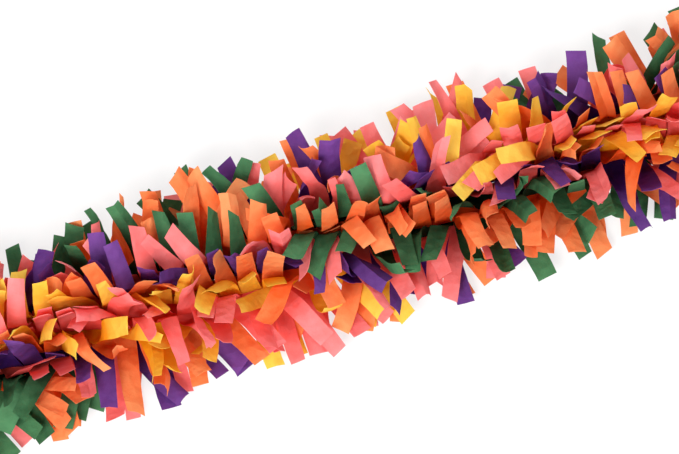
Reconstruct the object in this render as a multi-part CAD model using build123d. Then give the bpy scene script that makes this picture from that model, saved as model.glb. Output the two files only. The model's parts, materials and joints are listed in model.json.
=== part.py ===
from build123d import *
import math
import os
import random

import numpy as np

# Driving dimensions, in millimetres and degrees
STRIP_PITCH = 12.7  # from one slit to the next
STATIONS = 38  # strips along each edge of a ply
BAND_HALF = 13.0  # uncut paper on each side of the seam
SLIT_DEPTH = 54.0  # length of a strip
STRIP_SLACK = 0.6  # a fluffed strip is this much narrower than its pitch
PAPER = 0.2  # thickness of a ply
SEAM_STEP = 0.5  # from ply to ply at the seam
BAND_REST = 0.5  # lowest slit ends above the surface
BAND_FAN = 77.0  # slope of the bands of the outermost plies to the middle one
TWIST = 1.1  # degrees for each millimetre of length
THREAD_DIAMETER = 0.5
THREAD_PLAY = 0.15  # clear of the paper that the thread lies between
THREAD_SPANS = 24  # straight spans of thread along the twisted seam

# Pose of the fluffed strips before they settle, in degrees; pairs are for the lowest and the
# highest strips round the length
LAY_SEED = 12
LEAN_SPREAD = (26.0, 30.0)  # to either side
INNER_SPREAD = (3.0, 22.0)  # of the slope of the inner half
OUTER_SPREAD = (5.0, 38.0)  # of the slope of the outer half
ROLL_SPREAD = (6.0, 36.0)  # of the twist from slit to tip
INNER_SLOPE = 0.7  # share of its band's slope that a strip keeps
INNER_DROOP = -12.0  # steepest slope down to the surface
OUTER_SLOPE = (0.0, -5.0)  # of the outer half
TUFT = 3  # strips that lean together
OWN_LEAN = 0.35  # share of the lean that each strip has to itself
STRAIGHT_BELOW = -45.0  # strips whose band slopes down more than this lie straight

# How they settle on each other
CELL = 2.0  # grid of the height map of the pile
LAY_CLEARANCE = 1.2  # from a strip to what it lies over
CLEARANCE_GROWTH = 0.08  # of that, for each millimetre from the slit end
FREE_ROOT = 3.0  # no clearance is asked of a strip this near its slit end
END_PLAY = 4.0  # strips stay this near the cut ends of the plies
LIFT_STEP, LIFT_LIMIT = 5.0, 90.0  # degrees that a strip may rise to lie clear
TURN_STEP, TURN_LIMIT = 9.0, 27.0  # degrees that it may turn aside to lie clear
TURN_COST = 0.7  # a degree aside counts as this much of a degree of rise
OUTER_LIFT = 0.7  # share of the rise that its outer half takes part in
STEEPEST = 100.0  # slope of any part of a strip, a little past upright
LAYERED_POSES = 4  # tried over the pile, before a strip is tucked into it
POSES_TRIED = 16  # in all
TORN_SHARES = (1.0, 0.6, 0.4, 0.2)  # lengths tried; a strip that finds no room is torn short
SIDE_INSET = 0.1  # share of a strip's width at each side that is let off

LENGTH = STRIP_PITCH * STATIONS
TIP_REACH = BAND_HALF + SLIT_DEPTH

# Bottom to top at the middle of the length
PLIES = (
    "pink_ply_lower",
    "yellow_ply",
    "orange_ply_lower",
    "purple_ply",
    "pink_ply_upper",
    "green_ply",
    "orange_ply_upper",
)
SEAM_HEIGHT = BAND_HALF + SEAM_STEP * (len(PLIES) - 1) / 2 + BAND_REST


class Pile:
    """The paper laid so far: a height map of it, and its facets."""

    def __init__(self):
        self.corner = np.array([-LENGTH / 2 - TIP_REACH, -2 * TIP_REACH])
        self.top = np.zeros(np.ceil(-2 * self.corner / CELL).astype(int))
        self.facets = np.empty((0, 3, 3))
        self.low, self.high = np.empty((0, 3)), np.empty((0, 3))

    def cells(self, points):
        return tuple(((points[:, :2] - self.corner) / CELL).astype(int).T)

    def height(self, points):
        return self.top[self.cells(points)]

    def add(self, lines):
        points = spread_points(lines, 0.0)[0]
        np.maximum.at(self.top, self.cells(points), points[:, 2])
        self.add_facets(strip_facets(lines))

    def add_facets(self, facets):
        self.facets = np.concatenate([self.facets, facets])
        self.low = np.concatenate([self.low, facets.min(axis=1)])
        self.high = np.concatenate([self.high, facets.max(axis=1)])

    def lies_under(self, lines):
        """Whether a strip lies all above the pile."""
        points, distances = spread_points(lines, SIDE_INSET)
        below = self.height(points)
        needed = below + np.minimum(LAY_CLEARANCE, CLEARANCE_GROWTH * distances)
        above = (points[:, 2] > needed) | (below == 0) | (distances < FREE_ROOT)
        return above.all() and self.leaves_free(lines)

    def leaves_free(self, lines):
        """Whether a strip keeps to the surface and the length, and passes through no other."""
        strip = strip_facets(lines)
        low, high = strip.min(axis=(0, 1)), strip.max(axis=(0, 1))
        if low[2] < PAPER or max(high[0], -low[0]) > LENGTH / 2 + END_PLAY:
            return False
        near = self.facets[((self.low < high) & (self.high > low)).all(axis=1)]
        return not (pierces(strip, near) or pierces(near, strip))


def strip_facets(lines):
    corners = [((a, b, d), (a, d, c)) for (a, b), (c, d) in zip(lines, lines[1:])]
    return np.array(corners).reshape(-1, 3, 3)


def pierces(pointed, facets):
    """Whether an edge of the first facets passes through one of the others."""
    starts = pointed.reshape(-1, 1, 3)
    along = np.roll(pointed, -1, axis=1).reshape(-1, 1, 3) - starts
    origin = facets[:, 0]
    side_u, side_v = facets[:, 1] - origin, facets[:, 2] - origin
    across = np.cross(along, side_v)
    scale = (side_u * across).sum(axis=2)
    scale[np.abs(scale) < 1e-9] = np.inf
    reach = starts - origin
    turned = np.cross(reach, side_u)
    u = (reach * across).sum(axis=2) / scale
    v = (along * turned).sum(axis=2) / scale
    t = (side_v * turned).sum(axis=2) / scale
    inside = np.minimum.reduce([u, v, 1 - u - v, t, 1 - t])
    return bool((inside > 1e-3).any())


def spread_points(lines, inset):
    """Points all over the facets between cross lines, and their distances from the first line."""
    points, distances = [], []
    travelled = 0.0
    columns = math.ceil(STRIP_PITCH / (0.8 * CELL))
    u = np.linspace(inset, 1 - inset, columns + 1)[None, :, None]
    for near, far in zip(lines, lines[1:]):
        step = np.linalg.norm((far - near).mean(axis=0))
        v = np.linspace(0, 1, max(2, math.ceil(step / (0.8 * CELL))) + 1)[:, None, None]
        left = near[0] + (far[0] - near[0]) * v
        right = near[1] + (far[1] - near[1]) * v
        points.append((left + (right - left) * u).reshape(-1, 3))
        distances.append(np.repeat(travelled + step * v.ravel(), columns + 1))
        travelled += step
    return np.concatenate(points), np.concatenate(distances)


def polar(radius, angle):
    return radius * math.cos(math.radians(angle)), radius * math.sin(math.radians(angle))


def seam_point(ply, x, over=0.0):
    """A point of a ply's seam, or one so far over it in the twisted stack."""
    offset = (ply - (len(PLIES) - 1) / 2) * SEAM_STEP + over
    out, up = polar(offset, TWIST * x + 90)
    return np.array([x, out, SEAM_HEIGHT + up])


def band_angle(ply, edge, x):
    """Direction of the band from the seam to one edge's slit ends, round the length."""
    fan = BAND_FAN * (2 * ply / (len(PLIES) - 1) - 1)
    return TWIST * x + (fan if edge > 0 else 180 - fan)


def slit_end(ply, edge, x):
    out, up = polar(BAND_HALF, band_angle(ply, edge, x))
    return seam_point(ply, x) + np.array([0, out, up])


def root_lines(ply, edge, station):
    """The stretch of seam and the slit ends at the root of a strip."""
    ends = [STRIP_PITCH * number - LENGTH / 2 for number in (station, station + 1)]
    seam = np.array([seam_point(ply, x) for x in ends])
    return seam, np.array([slit_end(ply, edge, x) for x in ends])


def strip_lines(roots, side, length, lean, slopes, roll):
    """Cross lines of one strip, from its slit ends to its tip."""
    sway, ahead = math.sin(math.radians(lean)), math.cos(math.radians(lean))
    lines = [roots]
    centre = roots.mean(axis=0)
    for number, slope in enumerate(slopes, 1):
        out, up = polar(length / len(slopes), slope)
        centre = centre + np.array([out * sway, side * out * ahead, up])
        level, tilt = polar((STRIP_PITCH - STRIP_SLACK) / 2, roll * number / len(slopes))
        across = np.array([level * ahead, -side * level * sway, tilt])
        lines.append(np.array([centre - across, centre + across]))
    return lines


def ways_to_clear():
    """Degrees that a strip rises and turns aside to lie clear, the smallest moves first."""
    lifts = np.arange(0, LIFT_LIMIT, LIFT_STEP)
    turns = np.arange(-TURN_LIMIT, TURN_LIMIT + TURN_STEP, TURN_STEP)
    ways = [(lift, turn) for lift in lifts for turn in turns]
    return sorted(ways, key=lambda way: way[0] + TURN_COST * abs(way[1]))


def settle(roots, side, rise, length, pose, ways, fits):
    """Lift and turn a strip until it fits: its cross lines, and its pose then."""
    lean, slopes, roll = pose
    for lift, turn in ways:
        inner = min(slopes[0] + lift, rise + 90, STEEPEST)
        raised = [inner] + [min(slope + lift * OUTER_LIFT, STEEPEST) for slope in slopes[1:]]
        lines = strip_lines(roots, side, length, lean + turn, raised, roll)
        if fits(lines):
            return lines, (lean + turn, raised, roll)
    return lines, None


def lay_strip(roots, side, rise, lean, alike, pile, ways, chance):
    """Lay a strip over the pile, or where it finds no room there, between the strips of it."""
    leans = [lean] + [chance.gauss(0, 1) for _ in range(POSES_TRIED - 1)]
    poses = [fluffed_pose(rise, lean, chance) for lean in leans]
    tries = [(1, pose, pile.lies_under) for pose in poses[:LAYERED_POSES]]
    tries += [(share, pose, pile.leaves_free) for share in TORN_SHARES for pose in alike + poses]
    for share, pose, fits in tries:
        lines, found = settle(roots, side, rise, SLIT_DEPTH * share, pose, ways, fits)
        if found:
            return lines, found
    return lines, pose


def tufts(chance):
    """Leans along one edge, from -1 to 1 or so: strips near each other lean alike."""
    knots = [chance.gauss(0, 1) for _ in range(STATIONS // TUFT + 3)]
    start = chance.random()
    leans = []
    for station in range(STATIONS):
        place = start + station / TUFT
        knot = int(place)
        ease = (1 - math.cos(math.pi * (place - knot))) / 2
        leans.append(knots[knot] * (1 - ease) + knots[knot + 1] * ease + chance.gauss(0, OWN_LEAN))
    return leans


def fluffed_pose(rise, lean, chance):
    """Lean, slopes and roll of a strip whose band rises so many degrees."""
    height = (rise + 90) / 180

    def mix(pair):
        return pair[0] + (pair[1] - pair[0]) * height

    inner = chance.gauss(max(INNER_DROOP, INNER_SLOPE * rise), mix(INNER_SPREAD))
    outer = chance.gauss(mix(OUTER_SLOPE), mix(OUTER_SPREAD))
    roll = chance.gauss(0, mix(ROLL_SPREAD))
    slopes = [INNER_DROOP] if rise < STRAIGHT_BELOW else [inner, outer]
    return lean * mix(LEAN_SPREAD), slopes, roll


def lay_all():
    """For each ply, its strips as the edge that they are on and their cross lines from the seam out."""
    chance = random.Random(LAY_SEED)
    places = []
    for ply in range(len(PLIES)):
        for edge in (1, -1):
            for station, lean in enumerate(tufts(chance)):
                near = STRIP_PITCH * station - LENGTH / 2
                out, up = polar(1, band_angle(ply, edge, near + STRIP_PITCH / 2))
                rise = math.degrees(math.asin(up))
                if abs(near) > LENGTH / 2 - SLIT_DEPTH:
                    lean = -math.copysign(lean, near)
                places.append((rise, ply, edge, station, 1 if out > 0 else -1, lean))
    roots = {place[1:4]: root_lines(*place[1:4]) for place in places}
    pile = Pile()
    for lines in roots.values():
        pile.add_facets(strip_facets(lines))
    ways = ways_to_clear()
    plies = [[] for _ in PLIES]
    laid = {}
    for rise, ply, edge, station, side, lean in sorted(places):
        seam, ends = roots[ply, edge, station]
        beside = [(ply + a, edge, station + b, side) for a, b in ((0, -1), (0, 1), (-1, 0), (1, 0))]
        alike = [laid[key] for key in beside if key in laid]
        lines, pose = lay_strip(ends, side, rise, lean, alike, pile, ways, chance)
        laid[ply, edge, station, side] = pose
        pile.add(lines)
        plies[ply].append((edge, [seam] + lines))
    return plies


class Sheet:
    """A folded sheet, kept as corners and flat facets, which gets the paper's thickness."""

    def __init__(self):
        self.corners = []
        self.numbers = {}
        self.facets = []

    def corner(self, point):
        key = tuple(np.round(point, 4))
        if key not in self.numbers:
            self.numbers[key] = len(self.corners)
            self.corners.append(point)
        return self.numbers[key]

    def quad(self, *points):
        a, b, c, d = (self.corner(point) for point in points)
        self.facets += [(a, b, c), (a, c, d)]

    def thicken(self):
        corners = np.array(self.corners)
        facets = np.array(self.facets)
        a, b, c = (corners[facets[:, n]] for n in range(3))
        flat = np.cross(b - a, c - a)
        flat /= np.linalg.norm(flat, axis=1)[:, None]
        normals = np.zeros_like(corners)
        for n in range(3):
            np.add.at(normals, facets[:, n], flat)
        normals /= np.linalg.norm(normals, axis=1)[:, None]
        under = corners - PAPER * normals
        faces = [corners[facet] for facet in facets]
        faces += [under[facet[::-1]] for facet in facets]
        edges = {(facet[n], facet[(n + 1) % 3]) for facet in self.facets for n in range(3)}
        for a, b in sorted(edges):
            if (b, a) not in edges:
                faces.append((corners[b], corners[a], under[a]))
                faces.append((corners[b], under[a], under[b]))
        outlines = [[tuple(map(float, point)) for point in face] for face in faces]
        return Solid(Shell([Face(Wire.make_polygon(outline)) for outline in outlines]))


def ply_solid(strips):
    sheet = Sheet()
    for edge, lines in strips:
        for near, far in zip(lines, lines[1:]):
            if edge > 0:
                sheet.quad(near[0], near[1], far[1], far[0])
            else:
                sheet.quad(near[1], near[0], far[0], far[1])
    return sheet.thicken()


def thread(ply, over):
    """A thread along a ply's seam, in the valley between its two bands."""
    sections = []
    for span in range(THREAD_SPANS + 1):
        x, y, z = seam_point(ply, LENGTH * (span / THREAD_SPANS - 0.5), over)
        plane = Plane(origin=(x, y, z), x_dir=(0, 1, 0), z_dir=(1, 0, 0))
        sections.append(plane * RegularPolygon(THREAD_DIAMETER / 2, 6))
    return loft(sections, ruled=True)


def threads():
    half_angle = math.radians(90 - BAND_FAN)
    over = (THREAD_DIAMETER / 2 + THREAD_PLAY) / math.sin(half_angle)
    under = (THREAD_DIAMETER / 2 + THREAD_PLAY + PAPER) / math.sin(half_angle)
    return {"needle_thread": thread(len(PLIES) - 1, over), "bobbin_thread": thread(0, -under)}


def main():
    nodes = {name: ply_solid(strips) for name, strips in zip(PLIES, lay_all())}
    nodes.update(threads())
    os.makedirs("parts", exist_ok=True)
    for name, solid in nodes.items():
        export_step(solid, f"parts/{name}.step")
        print(name, round(solid.volume, 1), solid.is_valid)


main()
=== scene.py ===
import json
import math
import random

import bmesh
import bpy
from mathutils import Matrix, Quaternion, Vector, noise
from mathutils.bvhtree import BVHTree


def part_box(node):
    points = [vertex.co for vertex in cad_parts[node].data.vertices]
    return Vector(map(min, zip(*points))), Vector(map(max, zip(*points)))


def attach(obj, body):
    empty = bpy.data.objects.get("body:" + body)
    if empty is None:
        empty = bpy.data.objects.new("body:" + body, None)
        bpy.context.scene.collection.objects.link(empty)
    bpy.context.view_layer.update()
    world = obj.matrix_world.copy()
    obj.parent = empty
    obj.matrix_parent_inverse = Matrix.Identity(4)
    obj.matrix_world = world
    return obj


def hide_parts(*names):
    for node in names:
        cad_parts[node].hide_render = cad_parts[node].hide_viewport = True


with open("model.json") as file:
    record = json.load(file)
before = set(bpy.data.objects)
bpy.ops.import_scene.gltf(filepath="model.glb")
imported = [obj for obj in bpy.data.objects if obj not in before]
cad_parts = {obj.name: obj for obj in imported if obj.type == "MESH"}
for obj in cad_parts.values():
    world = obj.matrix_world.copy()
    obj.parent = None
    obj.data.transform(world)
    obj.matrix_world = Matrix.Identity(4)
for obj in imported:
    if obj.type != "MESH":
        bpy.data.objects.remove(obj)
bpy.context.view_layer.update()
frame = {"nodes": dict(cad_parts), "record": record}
print("frame loaded:", len(frame["nodes"]), "nodes")


def deselectAll():
    if bpy.context.mode != "OBJECT":
        bpy.ops.object.mode_set(mode="OBJECT")
    bpy.ops.object.select_all(action="DESELECT")


def pick(obj):
    deselectAll()
    obj.select_set(True)
    bpy.context.view_layer.objects.active = obj


def linear(rgb):  # a colour as seen on a screen, 0 to 255, to the light that it stands for
    parts = [c / 255 for c in rgb]
    return tuple(c / 12.92 if c < 0.04045 else ((c + 0.055) / 1.055) ** 2.4 for c in parts) + (1,)


class Val:  # a socket that takes part in sums
    def __init__(self, shader, socket):
        self.shader = shader
        self.socket = socket

    def work(self, operation, first, second):
        return self.shader.node("ShaderNodeMath", {"operation": operation}, {0: first, 1: second})

    def __add__(self, other):
        return self.work("ADD", self, other)

    def __sub__(self, other):
        return self.work("SUBTRACT", self, other)

    def __rsub__(self, other):
        return self.work("SUBTRACT", other, self)

    def __mul__(self, other):
        return self.work("MULTIPLY", self, other)

    def __pow__(self, other):
        return self.work("POWER", self, other)

    def __or__(self, other):  # the greater one
        return self.work("MAXIMUM", self, other)

    __radd__ = __add__
    __rmul__ = __mul__


class Shader:  # one material's nodes
    def __init__(self, name):
        self.material = bpy.data.materials.new(name)
        self.material.use_nodes = True
        self.tree = self.material.node_tree
        self.tree.nodes.clear()

    def node(self, kind, settings=None, inputs=None, out=0):
        node = self.tree.nodes.new(kind)
        for key, value in (settings or {}).items():
            setattr(node, key, value)
        for key, value in (inputs or {}).items():
            if isinstance(value, Val):
                self.tree.links.new(value.socket, node.inputs[key])
            else:
                node.inputs[key].default_value = value
        return Val(self, node.outputs[out])

    def mix(self, factor, first, second):  # of two colours, whose sockets have no names of their own
        return self.node("ShaderNodeMix", {"data_type": "RGBA"}, {0: factor, 6: first, 7: second}, 2)

    def finish(self, surface):
        output = self.tree.nodes.new("ShaderNodeOutputMaterial")
        self.tree.links.new(surface.socket, output.inputs["Surface"])
        return self.material


# Tissue paper

tissueLook = {
    "creaseSize": 0.006,  # metres between creases
    "crinkleSize": 0.004,
    "blotchSize": 0.022,
    "fibreSize": 0.0008,
    "crinkleDetail": 3,  # finer layers in each pattern
    "blotchDetail": 2,
    "fibreDetail": 2,
    "noiseRoughness": 0.6,
    "creaseHeight": 0.8,  # shares of the bump
    "crinkleHeight": 0.5,
    "fibreHeight": 0.08,
    "bumpStrength": 0.6,
    "bumpDepth": 0.0016,
    "tipPaintedLight": 0.85,  # painted light gained from the slit to the tip, rising out of the painted shade at the slit
    "tipPower": 1.2,
    "tintSpread": 0.35,  # how far strips differ
    "blotchSpread": 1.1,
    # painted shade in the crinkles' hollows and painted light on their crests
    "crinklePaintedShade": 0.4,
    "fibreSpread": 0.25,
    "deepen": 0.05,  # taken off everywhere, towards the painted shade
    "roughness": 0.55,
    "fibreRoughness": 0.3,  # added where fibres stand out
    "shine": 0.25,
    "throughLight": 0.46,  # share of the light that passes on through the paper
}

tissueColours = {  # slot: painted shade in the folds, painted light at the tips, light that shines through
    "pink_tissue": ((255, 104, 96), (255, 174, 178), (255, 146, 134)),
    "orange_tissue": ((255, 106, 30), (255, 188, 124), (255, 150, 50)),
    "yellow_tissue": ((252, 182, 26), (255, 240, 112), (255, 220, 50)),
    "green_tissue": ((10, 48, 26), (98, 166, 114), (40, 120, 64)),
    "purple_tissue": ((54, 18, 92), (146, 88, 180), (108, 44, 165)),
}


def tissueMaterial(slot):
    look = tissueLook
    # the colours in painted shade at the slit, in painted light at the tips, and of light passing through
    paintedShade, tip, glow = (linear(c) for c in tissueColours[slot])
    s = Shader(slot)
    place = s.node("ShaderNodeTexCoord", out="Object")
    along = s.node("ShaderNodeAttribute", {"attribute_name": "along"}, out="Fac")
    tint = s.node("ShaderNodeAttribute", {"attribute_name": "tint"}, out="Fac")

    def mottle(size, detail):
        sockets = {"Vector": place, "Scale": 1 / size, "Detail": detail, "Roughness": look["noiseRoughness"]}
        return s.node("ShaderNodeTexNoise", {}, sockets)

    def spread(value, amount):  # to either side of the middle of its range
        return (value - 0.5) * amount

    crinkle = mottle(look["crinkleSize"], look["crinkleDetail"])
    blotch = mottle(look["blotchSize"], look["blotchDetail"])
    fibre = mottle(look["fibreSize"], look["fibreDetail"])
    crease = s.node("ShaderNodeTexVoronoi", {}, {"Vector": place, "Scale": 1 / look["creaseSize"]})
    # painted shade at the slit rising to painted light at the tip, plus random tone from tint, blotches and
    # fibres
    paintedLightAndTone = along ** look["tipPower"] * look["tipPaintedLight"] + spread(tint, look["tintSpread"])
    # the crinkle term paints shade into the hollows that the bump lowers and light onto its crests
    paintedLightAndTone += spread(blotch, look["blotchSpread"]) + spread(crinkle, look["crinklePaintedShade"])
    paintedLightAndTone += spread(fibre, look["fibreSpread"]) - look["deepen"]
    colour = s.mix(s.node("ShaderNodeClamp", {}, {"Value": paintedLightAndTone}), paintedShade, tip)
    height = crease * look["creaseHeight"] + crinkle * look["crinkleHeight"] + fibre * look["fibreHeight"]
    relief = {"Strength": look["bumpStrength"], "Distance": look["bumpDepth"], "Height": height}
    sockets = {
        "Base Color": colour,
        "Roughness": look["roughness"] + look["fibreRoughness"] * fibre,
        "Normal": s.node("ShaderNodeBump", {}, relief),
        "Specular IOR Level": look["shine"],
    }
    paper = s.node("ShaderNodeBsdfPrincipled", {}, sockets)
    through = s.node("ShaderNodeBsdfTranslucent", {}, {"Color": glow})
    return s.finish(s.node("ShaderNodeMixShader", {}, {0: look["throughLight"], 1: paper, 2: through}))


# Plies: each is one sheet, slit on both edges, whose strips leave the sewn middle

ply = {
    "flat": (0.134, 0.4826),  # metres, as cut
    "columns": 4,  # faces across a strip
    "bandRows": 2,  # faces along the uncut band
    "stripRows": 12,  # faces along a strip beyond its slit
    "seamReach": 0.0025,  # seam corners are this near the axis
    "rimLimit": 0.00025,  # edges shorter than this are the solid's thickness
    "solidWeld": 0.000001,  # corners of a solid that are nearer than this are one
    "sheetWeld": 0.00002,  # and corners of a sheet
    "thickness": 0.00015,
    "smoothAngle": 40,  # degrees
    "seed": 11,
}

fluff = {  # how strips leave the plain bends of their solids
    "curl": 55,  # degrees, spread of the tip's
    "curlStart": 0.3,  # share of the strip's length
    "sway": 26,  # degrees, spread of the tip's to either side
    "twist": 36,  # degrees, spread of the tip's
    "cup": 0.0022,  # metres, spread of how far the middle of a strip bows out
    "foldedShare": 0.5,  # of the strips: these bow in a fold, the others in a round
    "gather": 0.3,  # most that a tip is narrower than its slit
    "skew": 0.16,  # spread of the cut's slant across the tip
    "crinkle": 0.0016,
    "crinkleLength": 0.012,
    "cutWander": 0.0005,
    "cutWaves": (5, 4),  # along and across a strip
    "grown": 3,  # bows and crinkles are whole at one part in this many of the length
    "rootPull": 0.8,  # how straight a strip leaves its slit
    "tipPull": 1.15,  # and how straight it ends
    "looseness": (1, 1, 1, 0.8, 0.6, 0.4, 0.25, 0.1, 0),  # tried until a strip passes through no other
    "floorGap": 0.0002,
    "sweeps": 12,  # over all strips, for those that still touch another
    "freeRows": 2,  # rows at the slit that aren't tested, as neighbours share their corners
    "noiseRange": 99,  # strips take their crinkles from places up to this far apart
}


def seamVerts(bm):
    return [v for v in bm.verts if (v.co - seamAxis).yz.length < ply["seamReach"]]


def singleSheet(node):  # a ply's solid, as one layer of faces
    bm = bmesh.new()
    bm.from_mesh(node.data)
    bmesh.ops.remove_doubles(bm, verts=bm.verts, dist=ply["solidWeld"])
    rim = [edge for edge in bm.edges if edge.calc_length() < ply["rimLimit"]]
    bmesh.ops.collapse(bm, edges=rim)
    bmesh.ops.remove_doubles(bm, verts=seamVerts(bm), dist=ply["rimLimit"])
    seen = set()
    doubled = []
    for face in bm.faces:
        key = frozenset(face.verts)
        if key in seen:
            doubled.append(face)
        seen.add(key)
    bmesh.ops.delete(bm, geom=doubled, context="FACES_ONLY")
    return bm


def stripLines(node):  # for each strip, its cross lines from the seam to the tip
    bm = singleSheet(node)
    seam = set(seamVerts(bm))
    band = {face for face in bm.faces if seam & set(face.verts)}
    left = set(bm.faces) - band
    strips = []
    for first in bm.faces:
        if first not in left:
            continue
        left.remove(first)
        strip = {first}
        frontier = [first]
        while frontier:
            for side in frontier.pop().edges:
                for face in side.link_faces:
                    if face in left:
                        left.remove(face)
                        strip.add(face)
                        frontier.append(face)
        strips.append(crossLines(strip, band, seam))
    bm.free()
    return strips


def crossLines(strip, band, seam):
    verts = {v for face in strip for v in face.verts}
    roots = sorted((v for v in verts if band & set(v.link_faces)), key=lambda v: v.co.x)
    sides = {}
    for edge in {e for face in strip for e in face.edges}:
        if len(strip & set(edge.link_faces)) == 1 and set(edge.verts) != set(roots):
            for v in edge.verts:
                sides.setdefault(v, []).append(edge.other_vert(v))
    path = [roots[0]]  # round the strip's outline, up one side and down the other
    while path[-1] is not roots[1]:
        path.append(next(v for v in sides[path[-1]] if v not in path))
    lines = [(path[n].co.copy(), path[-1 - n].co.copy()) for n in range(len(path) // 2)]
    start = []
    for root in roots:
        near = [e.other_vert(root) for e in root.link_edges if e.other_vert(root) in seam]
        start.append(min(near, key=lambda v: abs(v.co.x - root.co.x)).co.copy())
    return [tuple(start)] + lines


def smoothRun(points, leave, loose):  # a way through the points: straight runs, or a curve where loose
    tangents = [leave]
    for before, after in zip(points, points[2:]):
        tangents.append((after - before) / 2)
    tangents.append((points[-1] - points[-2]) * fluff["tipPull"])

    def at(place):
        span = min(int(place), len(points) - 2)
        t = place - span
        a, b = points[span], points[span + 1]
        curve = (
            a * (1 + 2 * t) * (1 - t) ** 2
            + tangents[span] * t * (1 - t) ** 2
            + b * (3 - 2 * t) * t ** 2
            - tangents[span + 1] * (1 - t) * t ** 2
        )
        return a.lerp(b, t).lerp(curve, loose)

    return at


def flatStrip():  # the pattern that every strip is bent from
    deselectAll()
    rows = ply["bandRows"] + ply["stripRows"]
    columns = ply["columns"]
    bpy.ops.mesh.primitive_grid_add(x_subdivisions=columns, y_subdivisions=rows, size=1, calc_uvs=False)
    return bpy.context.object


def patternPlaces(pattern):  # each corner's share of the way across, and its row
    rows = ply["bandRows"] + ply["stripRows"]
    return [(v.co.x + 0.5, round((v.co.y + 0.5) * rows)) for v in pattern.data.vertices]


def fluffedRows(lines, loose, chance):  # of a strip beyond its slit: each row's middle and its way across
    spans = len(lines) - 2
    runs = []
    for n in range(2):
        reach = (lines[2][n] - lines[1][n]).length
        leave = (lines[1][n] - lines[0][n]).normalized() * reach * fluff["rootPull"]
        runs.append(smoothRun([line[n] for line in lines[1:]], leave, loose))
    curl = math.radians(chance.gauss(0, fluff["curl"])) * loose
    sway = math.radians(chance.gauss(0, fluff["sway"])) * loose
    twist = math.radians(chance.gauss(0, fluff["twist"])) * loose
    gather = chance.uniform(0, fluff["gather"])
    rows = ply["stripRows"]
    plain = [[run(spans * row / rows) for run in runs] for row in range(rows + 1)]
    middle = (plain[0][0] + plain[0][1]) / 2
    bent = [(middle, plain[0][1] - plain[0][0])]
    for row in range(1, rows + 1):
        free = row / rows
        across = plain[row][1] - plain[row][0]
        step = sum(plain[row], Vector()) / 2 - sum(plain[row - 1], Vector()) / 2
        normal = across.cross(step).normalized()
        step.rotate(Quaternion(across.normalized(), curl * max(0, free - fluff["curlStart"])))
        step.rotate(Quaternion(normal, sway * free))
        across.rotate(Quaternion(normal, sway * free))
        across.rotate(Quaternion(step.normalized(), twist * free))
        middle = middle + step
        bent.append((middle, across * (1 - gather * free)))
    return bent


def bendStrip(places, lines, loose, chance):  # the pattern's corners, bent onto a strip's cross lines
    bands = ply["bandRows"]
    rows = fluffedRows(lines, loose, chance)
    cup = chance.gauss(0, fluff["cup"]) * loose
    folded = chance.random() < fluff["foldedShare"]
    skew = chance.gauss(0, fluff["skew"])
    shift = Vector([chance.uniform(0, fluff["noiseRange"]) for _ in range(3)])
    wavesAlong, wavesAcross = fluff["cutWaves"]
    corners = []
    for across, row in places:
        if row <= bands:
            sides = [a.lerp(b, row / bands) for a, b in zip(lines[0], lines[1])]
            corners.append(sides[0].lerp(sides[1], across))
            continue
        middle, way = rows[row - bands]
        ahead = middle - rows[row - bands - 1][0]
        normal = way.cross(ahead).normalized()
        free = (row - bands) / ply["stripRows"]
        grow = min(free * fluff["grown"], 1)
        off = 2 * across - 1  # from -1 to 1
        bow = cup * (1 - (abs(off) if folded else off ** 2))
        flat = middle + way * (across - 0.5) + ahead.normalized() * way.length * off * skew * free / 2
        wave = noise.noise(flat / fluff["crinkleLength"] + shift) * fluff["crinkle"] * loose
        spot = Vector((free * wavesAlong, across * wavesAcross, 0)) + shift
        wander = noise.noise(spot) * fluff["cutWander"]
        corners.append(flat + normal * (wave + bow) * grow + way.normalized() * wander * grow)
    return corners


class Bend:  # one way that a strip may lie
    def __init__(self, corners, faces):
        skipped = ply["bandRows"] + fluff["freeRows"]
        free = corners[skipped * (ply["columns"] + 1):]
        self.corners = corners
        self.low = [min(c[n] for c in free) for n in range(3)]
        self.high = [max(c[n] for c in free) for n in range(3)]
        self.tree = BVHTree.FromPolygons(corners, faces[skipped * ply["columns"]:])

    def near(self, other):
        return all(self.low[n] < other.high[n] and self.high[n] > other.low[n] for n in range(3))

    def crossings(self, others):
        return sum(len(self.tree.overlap(other.tree)) for other in others if self.near(other))


def layStrips(strips, pattern, chance):  # each as loose as it may be without passing through another
    places = patternPlaces(pattern)
    faces = [tuple(face.vertices) for face in pattern.data.polygons]
    bends = {}
    for sweep in range(fluff["sweeps"]):
        touching = 0
        for n, lines in enumerate(strips):
            others = [bend for key, bend in bends.items() if key != n]
            best = bends.get(n)
            least = best.crossings(others) if best else None
            for loose in fluff["looseness"]:
                if least == 0:
                    break
                trial = Bend(bendStrip(places, lines, loose, chance), faces)
                if trial.low[2] < fluff["floorGap"] and loose:
                    continue
                crossed = trial.crossings(others)
                if least is None or crossed < least:
                    best = trial
                    least = crossed
            bends[n] = best
            touching += least > 0
        print("sweep", sweep + 1, "leaves", touching, "strips that touch another")
    return [bends[n].corners for n in range(len(strips))]


def plyMesh(name, strips, pattern, chance):  # the strips, joined along the uncut band
    bm = bmesh.new()
    tintLayer = bm.verts.layers.float.new("tint")
    alongLayer = bm.verts.layers.float.new("along")
    places = patternPlaces(pattern)
    for corners in strips:
        start = len(bm.verts)
        bm.from_mesh(pattern.data)
        bm.verts.ensure_lookup_table()
        tint = chance.random()
        for vert, (_, row), corner in zip(bm.verts[start:], places, corners):
            vert.co = corner
            vert[tintLayer] = tint
            vert[alongLayer] = max(0, row - ply["bandRows"]) / ply["stripRows"]
    uncut = [v for v in bm.verts if v[alongLayer] == 0]
    bmesh.ops.remove_doubles(bm, verts=uncut, dist=ply["sheetWeld"])
    bmesh.ops.recalc_face_normals(bm, faces=bm.faces)
    mesh = bpy.data.meshes.new(name)
    bm.to_mesh(mesh)
    bm.free()
    return mesh


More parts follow.
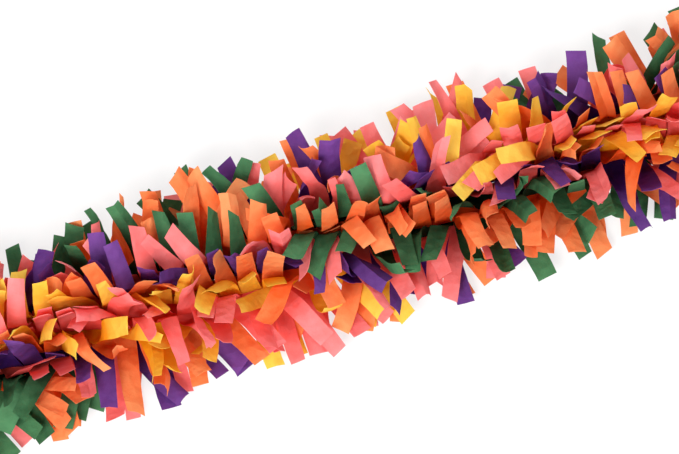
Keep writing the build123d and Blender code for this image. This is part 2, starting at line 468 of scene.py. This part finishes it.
def paperPly(name, material, strips, pattern, chance):
    mesh = plyMesh(name, strips, pattern, chance)
    mesh.materials.append(material)
    piece = bpy.data.objects.new(name, mesh)
    bpy.context.collection.objects.link(piece)
    pick(piece)
    solid = piece.modifiers.new("thickness", "SOLIDIFY")
    solid.thickness = ply["thickness"]
    solid.offset = 0
    bpy.ops.object.modifier_apply(modifier=solid.name)
    bpy.ops.object.shade_smooth_by_angle(angle=math.radians(ply["smoothAngle"]))
    print("ply:", name, len(mesh.polygons), "faces")
    return piece


slots = {part["node"]: part["material_slot"] for part in frame["record"]["subparts"]}
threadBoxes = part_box("needle_thread"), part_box("bobbin_thread")
seamLow = min(low.z for low, _ in threadBoxes)
seamHigh = max(high.z for _, high in threadBoxes)
seamAxis = Vector((0, 0, (seamLow + seamHigh) / 2))
materials = {slot: tissueMaterial(slot) for slot in tissueColours}
pattern = flatStrip()
chance = random.Random(ply["seed"])
plyLines = {node: stripLines(obj) for node, obj in frame["nodes"].items() if slots[node] in materials}
laid = layStrips([lines for strips in plyLines.values() for lines in strips], pattern, chance)
for node, strips in plyLines.items():
    own = laid[:len(strips)]
    laid = laid[len(strips):]
    piece = paperPly(node.replace("_ply", "_tissue"), materials[slots[node]], own, pattern, chance)
    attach(piece, "root")
    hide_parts(node)
bpy.data.objects.remove(pattern)

# Sewing thread

threadLook = {
    "colour": (222, 216, 204),
    "shade": 0.8,  # painted shade between the yarn's turns: share of the colour that is left there
    "turns": 750,  # of the yarn, as the wave's scale
    "bumpStrength": 0.5,
    "bumpDepth": 0.0001,
    "roughness": 0.7,
}


def threadMaterial():
    look = threadLook
    s = Shader("sewing_thread")
    place = s.node("ShaderNodeTexCoord", out="Object")
    turns = {"Vector": place, "Scale": look["turns"]}
    wave = s.node("ShaderNodeTexWave", {"bands_direction": "DIAGONAL"}, turns, "Fac")
    # painted shade in the hollows of the wave's bump, between the turns
    paintedGrooveShade = linear([c * look["shade"] for c in look["colour"]])
    relief = {"Strength": look["bumpStrength"], "Distance": look["bumpDepth"], "Height": wave}
    sockets = {
        "Base Color": s.mix(wave, paintedGrooveShade, linear(look["colour"])),
        "Roughness": look["roughness"],
        "Normal": s.node("ShaderNodeBump", {}, relief),
    }
    return s.finish(s.node("ShaderNodeBsdfPrincipled", {}, sockets))


thread = threadMaterial()
for node in ("needle_thread", "bobbin_thread"):
    mesh = frame["nodes"][node].data
    mesh.materials.clear()
    mesh.materials.append(thread)
print("thread done")

# Floor, light and camera

floorLook = {
    "size": 8.0,
    "drop": 0.0002,  # under the surface that the garland lies on
    "white": 0.92,
    "flatWhite": 0.7,  # share of plain white in what the camera sees
}


def floorMaterial():
    s = Shader("floor")
    rays = s.node("ShaderNodeLightPath").socket.node.outputs
    seen = Val(s, rays["Is Camera Ray"]) | Val(s, rays["Is Glossy Ray"]) | Val(s, rays["Is Transmission Ray"])
    matt = s.node("ShaderNodeBsdfDiffuse", {}, {"Color": (floorLook["white"],) * 3 + (1,)})
    bare = s.node("ShaderNodeEmission", {}, {"Color": (1, 1, 1, 1), "Strength": 1.0})
    return s.finish(s.node("ShaderNodeMixShader", {}, {0: seen * floorLook["flatWhite"], 1: matt, 2: bare}))


deselectAll()
bpy.ops.mesh.primitive_plane_add(size=floorLook["size"], location=(0, 0, -floorLook["drop"]))
floor = bpy.context.object
floor.name = "floor"
floor.data.materials.append(floorMaterial())

studio = {
    "lampAim": (0, 0, 0.03),
    "worldStrength": 0.36,
    "lamps": {  # name: place, size, watts, colour
        "key": ((-0.9, -0.7, 1.6), 0.9, 43, (1.0, 0.98, 0.95)),
        "fill": ((1.1, -0.6, 1.3), 1.4, 13, (0.96, 0.98, 1.0)),
        "back": ((0.2, 1.3, 1.1), 1.2, 11, (1.0, 1.0, 1.0)),
    },
}


def addLamp(name, place, size, watts, colour):
    data = bpy.data.lights.new(name, "AREA")
    data.size = size
    data.energy = watts
    data.color = colour
    lamp = bpy.data.objects.new(name, data)
    lamp.location = place
    lamp.rotation_euler = (Vector(studio["lampAim"]) - Vector(place)).to_track_quat("-Z", "Y").to_euler()
    bpy.context.collection.objects.link(lamp)


def addWorld():
    world = bpy.data.worlds.new("studio")
    world.use_nodes = True
    sky = world.node_tree.nodes["Background"].inputs
    sky["Color"].default_value = (1, 1, 1, 1)
    sky["Strength"].default_value = studio["worldStrength"]
    bpy.context.scene.world = world


for name, lamp in studio["lamps"].items():
    addLamp(name, *lamp)
addWorld()

camera = {
    "elevation": 80,  # degrees over the horizon
    "slope": 19.1,  # degrees that the garland rises to the right in the picture
    "pixel": 0.000565,  # metres of garland in a pixel
    "picture": (679, 454),
    "seamPixel": (339.5, 236),  # where the middle of the garland shows
    "aim": (0, 0, 0.012),
    "lens": 180,
}


def addCamera():
    up = math.radians(camera["elevation"])
    turn = -math.atan(math.tan(math.radians(camera["slope"])) / math.sin(up))
    back = Vector((math.sin(turn) * math.cos(up), -math.cos(turn) * math.cos(up), math.sin(up)))
    data = bpy.data.cameras.new("camera")
    data.lens = camera["lens"]
    width, height = camera["picture"]
    distance = width * camera["pixel"] * data.lens / data.sensor_width
    cam = bpy.data.objects.new("camera", data)
    cam.rotation_mode = "QUATERNION"
    cam.rotation_quaternion = (-back).to_track_quat("-Z", "Y")
    right = cam.rotation_quaternion @ Vector((1, 0, 0))
    upward = cam.rotation_quaternion @ Vector((0, 1, 0))
    shiftX = (width / 2 - camera["seamPixel"][0]) * camera["pixel"]
    shiftY = (camera["seamPixel"][1] - height / 2) * camera["pixel"]
    cam.location = Vector(camera["aim"]) + back * distance + right * shiftX + upward * shiftY
    bpy.context.collection.objects.link(cam)
    bpy.context.scene.camera = cam


addCamera()
bpy.context.scene.view_settings.view_transform = "Standard"
print("stage done")
